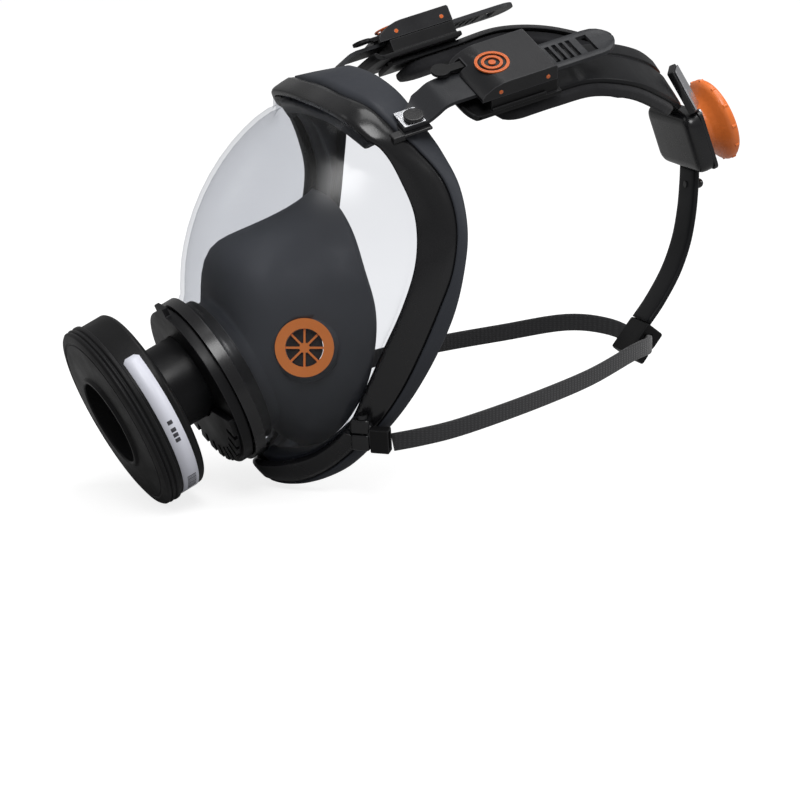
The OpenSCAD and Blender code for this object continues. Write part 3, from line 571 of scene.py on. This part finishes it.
SEAL_RIM, SKIRT_T, FLAP_W = VISOR_RIM + VISOR_T + 0.5, 2.4, 12.5
BEZEL = 8


def seal_rings():
    """Skirt from the frame to its tip, the flap inwards, back, and the bezel round the visor."""
    root = on_frame(1, 0.5, 1.6)
    tip = SKIRT
    flat = unit(INWARD * [1, 0, 1])
    lip = tip + FLAP_W * flat
    bulge = unit(np.cross(tangents(SKIRT, True), tip - root))
    rings = [root]
    for t in (0.2, 0.4, 0.6, 0.8, 0.93):
        rings.append(root + t * (tip - root) + 0.9 * math.sin(math.pi * t) * bulge)
    rings += [tip + 0.15 * ALONG + 0.9 * flat, tip + 0.3 * ALONG + 2.6 * flat,
              tip + 0.5 * FLAP_W * flat, lip - 0.4 * ALONG, lip - 0.9 * ALONG + 0.5 * flat,
              lip - 1.6 * ALONG, tip + 0.45 * FLAP_W * flat - SKIRT_T * ALONG,
              tip + 4.5 * flat - (SKIRT_T + 0.4) * ALONG, tip - 3.6 * ALONG + 2.9 * INWARD,
              on_frame(1, 2.6, SEAL_RIM + SKIRT_T)]
    bezel = [(0.45, SKIRT_T + 1.5), (0.2, BEZEL - 1), (0.13, BEZEL), (0.05, BEZEL), (0.02, BEZEL - 1),
             (0.04, 2), (0.08, 0), (1, 0)]
    return rings + [on_frame(share, 0, SEAL_RIM + rise) for share, rise in bezel]


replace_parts(loft("face_seal_rubber", seal_rings(), "facepiece", MATERIAL["seal_rubber"], "seal_rubber"),
            "face_seal")

# ---------- half mask ----------

CHEEK_EDGE = loop(both_sides([
    [0, -106, 62], [16, -102, 58], [30, -99, 46], [41, -97, 28], [48, -94, 8],
    [50, -95, -12], [47, -99, -34], [37, -106, -54], [20, -113, -68], [0, -116, -73]]), 8)
MASK_COLLAR_R, MASK_COLLAR_ROOT, MASK_COLLAR_END = 36.9, -18, -4
MASK_AXIS_REAR = np.array([0, -100, -8.0])
MASK_T = 2.2


def on_mask(share, t):
    """Ring from the cheek edge to the collar, swelled out from a slanting axis, t under its face."""
    root = in_housing(housing_angle(CHEEK_EDGE), MASK_COLLAR_R, MASK_COLLAR_ROOT)
    front = in_housing(0, 0, MASK_COLLAR_ROOT)
    axis = MASK_AXIS_REAR + share * (front - MASK_AXIS_REAR)
    v = CHEEK_EDGE + share * (root - CHEEK_EDGE) - axis
    up = np.maximum(0, unit(v)[:, 2:])
    hump = math.sin(math.pi * share ** 5) * up ** 4
    swell = math.sin(math.pi * share ** 1.7) * (0.05 + 0.18 * up ** 3) + 0.42 * hump
    return axis + v * (1 + swell) - t * unit(v) - t * hump * OUT


def mask_end(t):
    return in_housing(housing_angle(CHEEK_EDGE), MASK_COLLAR_R - t, MASK_COLLAR_END)


MASK_SHARES = [0, 0.03, 0.08, 0.15, 0.22, 0.3, 0.38, 0.46, 0.54, 0.62, 0.7, 0.77, 0.83, 0.88, 0.92,
               0.95, 0.98, 1]
mask_rings = [on_mask(0.0, 1.1) + [0, 0.9, 0]] + [on_mask(s, 0) for s in MASK_SHARES] + \
    [mask_end(0), mask_end(MASK_T)] + [on_mask(s, MASK_T) for s in MASK_SHARES[::-1]]
half_mask = loft("half_mask_rubber", mask_rings, "facepiece", MASK_RUBBER, "seal_rubber")
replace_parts(half_mask, "half_mask")

# ---------- cheek valves: a stepped hole for each seat, and the boss that holds it ----------

VALVE_C = [43, -131, -10]
VALVE_TURN = rotation("Z", -25) @ rotation("Y", 75)
BORE_R, FLANGE_R, FLANGE_Z, CUT_Z = 12.8, 15.3, 0.4, 12
HOLE = [(0.01, -CUT_Z), (BORE_R, -CUT_Z), (BORE_R, FLANGE_Z), (FLANGE_R, FLANGE_Z), (FLANGE_R, CUT_Z),
        (0.01, CUT_Z)]
BOSS = [(BORE_R, -6.5), (BORE_R, 0.3), (15.2, 0.3), (15.9, -0.2), (17.5, -2.6), (17.5, -6.5)]
cutters = []
for side, flip in SIDES:
    at_valve = turned(VALVE_C, VALVE_TURN, flip)
    cutter = revolve("valve_cutter_" + side, HOLE, at_valve, None, MASK_RUBBER, "seal_rubber", sides=64)
    cutters.append(cutter)
    cut = half_mask.modifiers.new("hole", "BOOLEAN")
    cut.operation, cut.solver, cut.object = "DIFFERENCE", "EXACT", cutter
    revolve("valve_boss_" + side, BOSS, at_valve, "facepiece", MASK_RUBBER, "seal_rubber", sides=96,
            bevel=0.3)
bpy.context.view_layer.update()
cut_mesh = bpy.data.meshes.new_from_object(half_mask.evaluated_get(bpy.context.evaluated_depsgraph_get()))
half_mask.modifiers.clear()
half_mask.data = cut_mesh
for cutter in cutters:
    bpy.data.objects.remove(cutter)

# ---------- filter ----------

FILTER_R, INTAKE_R = 51, 23
FILTER_BACK, FILTER_FRONT = 30.4, 55.4
LID_Z = FILTER_FRONT - 9
lid = [(INTAKE_R, 49.4), (INTAKE_R, 57.2), (INTAKE_R + 0.6, 57.8), (INTAKE_R + 2, 57.8),
       (INTAKE_R + 2.6, 57.2), (INTAKE_R + 3, 56.2), (INTAKE_R + 4, 55.9), (36, 55.5), (44.2, 55.1),
       (44.6, 54.5), (45.4, 54.5), (45.8, 55.1), (47.2, 54.9), (49.4, 54.2), (50.5, 53.1), (50.5, 52.4),
       (49.8, 52.1), (49.8, 51.6), (50.6, 51.2), (50.9, 50.6), (50.6, 50), (49.9, 49.6), (49.9, 49.1),
       (50.7, 48.6), (51, 48), (50.8, LID_Z), (46.5, LID_Z), (46.5, 52), (26, 53.6), (26, 49.4)]
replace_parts(revolve("filter_cap", lid, at_filter, "filter", MATERIAL["matte_black"], "matte_black",
                    bevel=0.2, angle=25), "filter_lid")

# Grille behind the intake: three rings on eight ribs
RIBS = 8
for r in (7, 13, 19):
    revolve("intake_ring_%d" % r, [(r - 0.8, 46.6), (r - 0.8, 48.2), (r + 0.8, 48.2), (r + 0.8, 46.6)],
            at_filter, "filter", MATERIAL["matte_black"], "matte_black", sides=64, bevel=0.2)
boxes("intake_ribs", [(turned(SOCKET_C, AXES @ rotation("Z", 360 / RIBS * k)),
                       (2, -0.7, 46.4), (25.8, 0.7, 47.9)) for k in range(RIBS)],
      "filter", MATERIAL["matte_black"], "matte_black", bevel=0.2)

# ---------- label: a pale strip with plain bars ----------

LABEL_R, LABEL_START, LABEL_ARC = FILTER_R - 1.4, -84, 134
LABEL_LOW, LABEL_HIGH = FILTER_BACK + 4.8, FILTER_BACK + 14


def curved_patch(r0, r1, a0, a1, z0, z1, corner):
    """Thin curved plate with rounded corners on a cylinder round the filter axis."""
    width = math.radians(a1 - a0) * r1
    rings = []
    for s in np.linspace(0, 1, 64):
        edge = min(s, 1 - s) * width
        cut = corner - math.sqrt(max(0, corner ** 2 - (corner - edge) ** 2)) if edge < corner else 0
        a = math.radians(a0 + s * (a1 - a0))
        corners = ((r0, z0 + cut), (r1, z0 + cut), (r1, z1 - cut), (r0, z1 - cut))
        rings.append([(r * math.cos(a), r * math.sin(a), z) for r, z in corners])
    return at_filter(np.array(rings).reshape(-1, 3)).reshape(len(rings), 4, 3)


def printed(name, start, end, low, high, corner):
    patch = curved_patch(LABEL_R + 0.2, LABEL_R + 0.32, start, end,
                         LABEL_LOW + low, LABEL_LOW + high, corner)
    loft(name, patch, "filter", PRINT, "label_film", wrap=False)


label = loft("label_strip", curved_patch(LABEL_R - 0.1, LABEL_R + 0.25, LABEL_START,
                                         LABEL_START + LABEL_ARC, LABEL_LOW, LABEL_HIGH, 2),
             "filter", MATERIAL["label_film"], "label_film", wrap=False)
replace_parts(label, "filter_label")
BAR_GAP = 0.9
bar_at = -57.0
for k, width in enumerate((1.6, 0.5, 0.9, 0.5, 1.4, 0.6, 0.5, 1.1, 0.5, 0.8)):
    turn = math.degrees(width / LABEL_R)
    printed("label_bar_%d" % k, bar_at, bar_at + turn, 1.6, 6.6, 0.01)
    bar_at += turn + BAR_GAP
for k, (start, end) in enumerate(((-9, -6.5), (-5.5, -3), (-2, 0.5), (3, 5.5))):
    printed("label_block_%d" % k, start, end, 3.4, 6.2, 0.3)

# ---------- upper straps ----------


def solid_grid(name, rows, keep, thick, body, material, slot, bevel):
    """Plate over rows of (point, normal, rise); keep[i][j] says whether cell i, j is there."""
    u, v = len(rows), len(rows[0])
    top = [p + n * (thick / 2 + h) for row in rows for p, n, h in row]
    low = [p - n * thick / 2 for row in rows for p, n, h in row]
    base = u * v
    faces = []

    def here(i, j):
        return 0 <= i < u - 1 and 0 <= j < v - 1 and keep[i][j]

    for i in range(u - 1):
        for j in range(v - 1):
            if not keep[i][j]:
                continue
            a, b, c, d = i * v + j, (i + 1) * v + j, (i + 1) * v + j + 1, i * v + j + 1
            faces += [(a, b, c, d), (base + d, base + c, base + b, base + a)]
            for ok, p, q in ((here(i, j - 1), a, b), (here(i + 1, j), b, c),
                             (here(i, j + 1), c, d), (here(i - 1, j), d, a)):
                if not ok:
                    faces.append((p, base + p, base + q, q))
    used = sorted({k for f in faces for k in f})
    index = {k: n for n, k in enumerate(used)}
    verts = top + low
    return piece_from(name, [verts[k] for k in used], [tuple(index[k] for k in f) for f in faces],
                      body, material, slot, bevel=bevel, angle=40)


STRAP_T = 2
TAIL_Y, TAIL_R = 50, 11
STRAP_BEND = [[-65, -6.5], [-57, -6.5], [-51.5, -6.5], [-46, -4], [-41, -1], [-36, 0]]
SLOT_START, SLOT_PITCH, SLOT_HALF, SLOT_COUNT = -18, 4, 1.2, 15
SLOTS = [(SLOT_START + SLOT_PITCH * k - SLOT_HALF, SLOT_START + SLOT_PITCH * k + SLOT_HALF)
         for k in range(SLOT_COUNT)] + [(43, 49)]
SLOT_SHARE = 0.64
COLUMNS = [-1, -0.9, -0.76, -SLOT_SHARE, -0.3, 0, 0.3, SLOT_SHARE, 0.76, 0.9, 1]
RAIL_Y, RAIL_RISE = 21, 0.3
LEDGE_Y, LEDGE_SLOPE = -48, 17 / 18


def upper_strap(side, flip):
    """Ladder strap: bent at the peg end, slotted along its length, with a round tail."""
    at_buckle = turned(BUCKLE_C, BUCKLE_TURN, flip)
    turn_only = turned([0, 0, 0], BUCKLE_TURN, flip)
    line = [tuple(p) for p in path(STRAP_BEND, 5)]
    line += [(y, 0.0) for pair in SLOTS for y in pair]
    line += [(TAIL_Y + TAIL_R * math.sin(math.radians(a)), 0.0) for a in (18, 36, 52, 66, 78, 86)]
    line = np.array(line)
    lean = tangents(line, False)
    rows, keep = [], []
    for k, (y, z) in enumerate(line):
        half = math.sqrt(max(0.01, TAIL_R ** 2 - max(0, y - TAIL_Y) ** 2))
        left = max(-half, (LEDGE_Y - y) * LEDGE_SLOPE - 12) if y < LEDGE_Y else -half
        normal = np.array([0, -lean[k][1], lean[k][0]])
        row = []
        for f in COLUMNS:
            x = (left + half) / 2 + f * (half - left) / 2
            rail = RAIL_RISE if y > RAIL_Y and 0.7 < abs(f) < 0.95 else 0
            row.append((at_buckle(np.array([[x, y, z]]))[0], turn_only(normal[None])[0], rail))
        rows.append(row)
        middle = (y + line[min(k + 1, len(line) - 1)][0]) / 2
        slot = any(a < middle < b for a, b in SLOTS)
        keep.append([not (slot and abs(a + b) / 2 < SLOT_SHARE) for a, b in zip(COLUMNS, COLUMNS[1:])])
    strap = solid_grid("strap_" + side, rows, keep, STRAP_T, "facepiece", STRAP_RUBBER,
                       "seal_rubber", 0.3)
    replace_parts(strap, "upper_strap_" + side)


for side, flip in SIDES:
    upper_strap(side, flip)

# ---------- buckle trays: upturned front lip and side ledges ----------

TRAY_HALF, TRAY_PULL = 19, 2.2
TRAY_LIP = [(-27, -9.5), (-30, -9.2), (-32, -7.6), (-32.6, -5.4), (-31.6, -4.4), (-30.4, -5),
            (-29.6, -6.2), (-27, -6.9)]
for side, flip in SIDES:
    at_buckle = turned(BUCKLE_C, BUCKLE_TURN, flip)
    grid = []
    for x in np.linspace(-TRAY_HALF, TRAY_HALF, 25):
        pull = TRAY_PULL * (abs(x) / TRAY_HALF) ** 4
        grid.append(at_buckle(np.array([(x, y + pull, z) for y, z in TRAY_LIP])))
    loft("tray_lip_" + side, grid, "harness", MATERIAL["matte_black"], "matte_black",
         wrap=False, bevel=0.4)
    boxes("tray_ledge_" + side, [(at_buckle, (18.2, -19, -6.9), (19.4, 12, -4.6))], "harness",
          MATERIAL["matte_black"], "matte_black", bevel=0.5)

# ---------- crown frame and pads ----------


def in_buckle(x, y, z):
    return turned(BUCKLE_C, BUCKLE_TURN)(np.array([[x, y, z]]))[0]


# Inner and outer edge of the crown band: under the buckle, then round the head to the middle
CROWN_ROWS = [[in_buckle(-13, y, -9.8), in_buckle(13, y, -9.8)] for y in (-20, 0, 19)] + [
    [[40, 18, 134], [65, 21, 121]],
    [[33, 43, 134], [58, 50, 116]],
    [[22, 67, 128], [43, 76, 105]],
    [[10, 83, 120], [23, 96, 95]],
    [[0, 88, 116], [0, 105, 91]]]
CROWN_STEPS = 8
CROWN_T = 3
CROWN_IN, CROWN_OUT = [path(there_and_back([r[k] for r in CROWN_ROWS]), CROWN_STEPS) for k in (0, 1)]
CROWN_U = unit(CROWN_OUT - CROWN_IN)
CROWN_N = unit(np.cross(tangents((CROWN_IN + CROWN_OUT) / 2, False), CROWN_U))


def on_crown(share, across, depth):
    return CROWN_IN + share * (CROWN_OUT - CROWN_IN) + across * CROWN_U + depth * CROWN_N


CROWN_PROFILE = [(0, 0, 1.6), (0, 0.6, 0.6), (0, 2.5, 0.1), (0.28, 0, 0), (0.3, 0, 1.1), (0.37, 0, 1.1),
                 (0.39, 0, 0), (0.7, 0, 0), (1, -2.5, 0.2), (1, -0.6, 0.7), (1, 0, 1.7), (1, 0, 3),
                 (0, 0, 3)]
crown = loft("crown_band", np.array([on_crown(*p) for p in CROWN_PROFILE]).transpose(1, 0, 2), "harness",
             BAND_RUBBER, "seal_rubber", wrap=False, bevel=0.3, angle=35)
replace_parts(crown, "crown_frame")

PAD_PROFILE = loop([[0, 3.4, CROWN_T + 0.4], [0.5, 1, CROWN_T + 0.4], [1, 0.6, CROWN_T + 0.4],
                    [1, 3.4, CROWN_T + 3], [1, 2.6, CROWN_T + 6.6], [0.5, 1, CROWN_T + 8],
                    [0, 4, CROWN_T + 7], [0, 2.6, CROWN_T + 3]], 3)
PAD_FIRST, PAD_LAST, PAD_END = 3, 48, 5
for side, flip in SIDES:
    rows = np.array([on_crown(*p) for p in PAD_PROFILE]).transpose(1, 0, 2)[PAD_FIRST:PAD_LAST]
    for k, ring in enumerate(rows):
        end = min(k, len(rows) - 1 - k) / PAD_END
        if end < 1:
            middle = ring.mean(axis=0)
            rows[k] = middle + (ring - middle) * (0.45 + 0.55 * math.sqrt(1 - (1 - end) ** 2))
    if flip:
        rows = mirrored(rows)
    pad = loft("crown_cushion_" + side, rows, "harness", PAD_FOAM, "seal_rubber", wrap=False)
    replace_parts(pad, "crown_pad_" + side)

# ---------- rear housing: a cup with rounded corners ----------


def rounded_box(x, y0, y1, r):
    """Outline of a rounded rectangle, eight points to a corner."""
    points = []
    for cx, cy, start in ((x - r, y1 - r, 0), (r - x, y1 - r, 90),
                          (r - x, y0 + r, 180), (x - r, y0 + r, 270)):
        for k in range(8):
            a = math.radians(start + k * 90 / 7)
            points.append((cx + r * math.cos(a), cy + r * math.sin(a)))
    return points


at_knob = turned([0, 113, 76], rotation("X", -70))
CUP_LEVELS = [(5.5, -11), (3.2, -10.7), (1.8, -10), (0.9, -9.2), (0.3, -8), (0, -6), (0, -2.25)]
rings = [[(x, y, z) for x, y in rounded_box(24 - inset, inset - 16, 18 - inset, 7 - inset)]
         for inset, z in CUP_LEVELS]
rings += [[(x, y, z) for x, y in rounded_box(21.6, -12.2, 12.2, 1.5)] for z in (-2.25, -9.5)]
housing = loft("rear_cup", at_knob(np.array(rings).reshape(-1, 3)).reshape(len(rings), 32, 3), "harness",
               MATERIAL["gloss_black"], "gloss_black", wrap=False)
housing.modifiers.new("shade", "NODES").node_group = SMOOTH
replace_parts(housing, "rear_housing")

# ---------- nape band and lower strap ----------

NAPE_W, NAPE_T = 18, 4
NAPE_LINE = path([[113.9, 56], [113.6, 46], [112.5, 32], [109.5, 16], [103.5, 0], [94.5, -15],
                  [86, -26]], 6)
lean = tangents(NAPE_LINE, False)
rounded = [(math.copysign(abs(math.cos(a)) ** 0.35, math.cos(a)),
            math.copysign(abs(math.sin(a)) ** 0.7, math.sin(a)))
           for a in np.linspace(0, 2 * math.pi, 28, endpoint=False)]
grid = [[(x * NAPE_W / 2, y - t[1] * d * NAPE_T / 2, z + t[0] * d * NAPE_T / 2) for x, d in rounded]
        for (y, z), t in zip(NAPE_LINE, lean)]
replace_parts(loft("nape_strap", grid, "harness", BAND_RUBBER, "seal_rubber", wrap=False), "nape_band")

LOWER_W, LOWER_T = 9.5, 2
LOWER_ROUTE = path(there_and_back([[60.4, -89.8, -60], [67, -77, -57], [70, -60, -54], [70, -35, -49],
                                   [64, -4, -44], [54, 28, -39], [39, 60, -33], [23, 79, -34],
                                   [0, 86.5, -38]]), 6)
lean = tangents(LOWER_ROUTE, False)
across = unit(np.cross([0, 0, 1], lean))
upright = unit(np.cross(lean, across))
grid = [[p + v * x * LOWER_W / 2 + n * y * LOWER_T / 2 for x, y in rounded]
        for p, n, v in zip(LOWER_ROUTE, across, upright)]
lower = loft("lower_elastic", grid, None, MATERIAL["elastic_web"], "elastic_web", wrap=False)
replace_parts(lower, "lower_strap")
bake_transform(lower)

# ---------- floor and light ----------

# The floor and the background are brighter to the camera than to the object
FLOOR_Z, FLOOR_HALF, FLOOR_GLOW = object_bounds()[0][2], 12, 0.8
n = Nodes("floor_white")
n.set(n.shader.inputs["Base Color"], n.mix(n.between(n.noise(3, 2), 0, 1), rgb(0.34, 0.34, 0.34),
                                            rgb(0.37, 0.37, 0.37)))
n.set(n.shader.inputs["Roughness"], 0.8)
n.set(n.shader.inputs["Emission Color"], rgb(1, 1, 1))
seen = n.add("ShaderNodeLightPath").outputs["Is Camera Ray"]
n.set(n.shader.inputs["Emission Strength"], n.math("MULTIPLY", seen, FLOOR_GLOW))
floor_mesh = bpy.data.meshes.new("floor")
floor_mesh.from_pydata([(x * FLOOR_HALF, y * FLOOR_HALF, FLOOR_Z)
                        for x, y in ((-1, -1), (1, -1), (1, 1), (-1, 1))], [], [(0, 1, 2, 3)])
floor = bpy.data.objects.new("floor", floor_mesh)
floor_mesh.materials.append(n.material)
bpy.context.collection.objects.link(floor)

world = bpy.data.worlds.new("studio")
world.use_nodes = True
background = world.node_tree.nodes["Background"]
background.inputs["Color"].default_value = (1, 1, 1, 1)
seen = world.node_tree.nodes.new("ShaderNodeLightPath").outputs["Is Camera Ray"]
level = world.node_tree.nodes.new("ShaderNodeMapRange")
level.inputs["To Min"].default_value = 0.3
level.inputs["To Max"].default_value = 1.0
world.node_tree.links.new(seen, level.inputs["Value"])
world.node_tree.links.new(level.outputs[0], background.inputs["Strength"])
bpy.context.scene.world = world
bpy.context.scene.view_settings.view_transform = "Standard"
bpy.context.scene.view_settings.look = "None"


LIGHT_AIM = Vector((0, -0.03, 0.02))


def area_light(name, where, size, power, tall=None):
    data = bpy.data.lights.new(name, "AREA")
    data.energy = power
    data.size = size
    if tall:
        data.shape, data.size_y = "RECTANGLE", tall
    light = bpy.data.objects.new(name, data)
    light.location = where
    light.rotation_euler = (LIGHT_AIM - Vector(where)).to_track_quat("-Z", "Y").to_euler()
    bpy.context.collection.objects.link(light)


area_light("key", (1.3, -0.6, 1.6), 0.8, 20)
area_light("top", (0.1, 0.2, 1.8), 1.2, 16)
area_light("rear", (0.7, 1.5, 0.9), 0.8, 9)
area_light("front", (-0.9, -1.5, 1.1), 0.6, 1.5, tall=1.0)
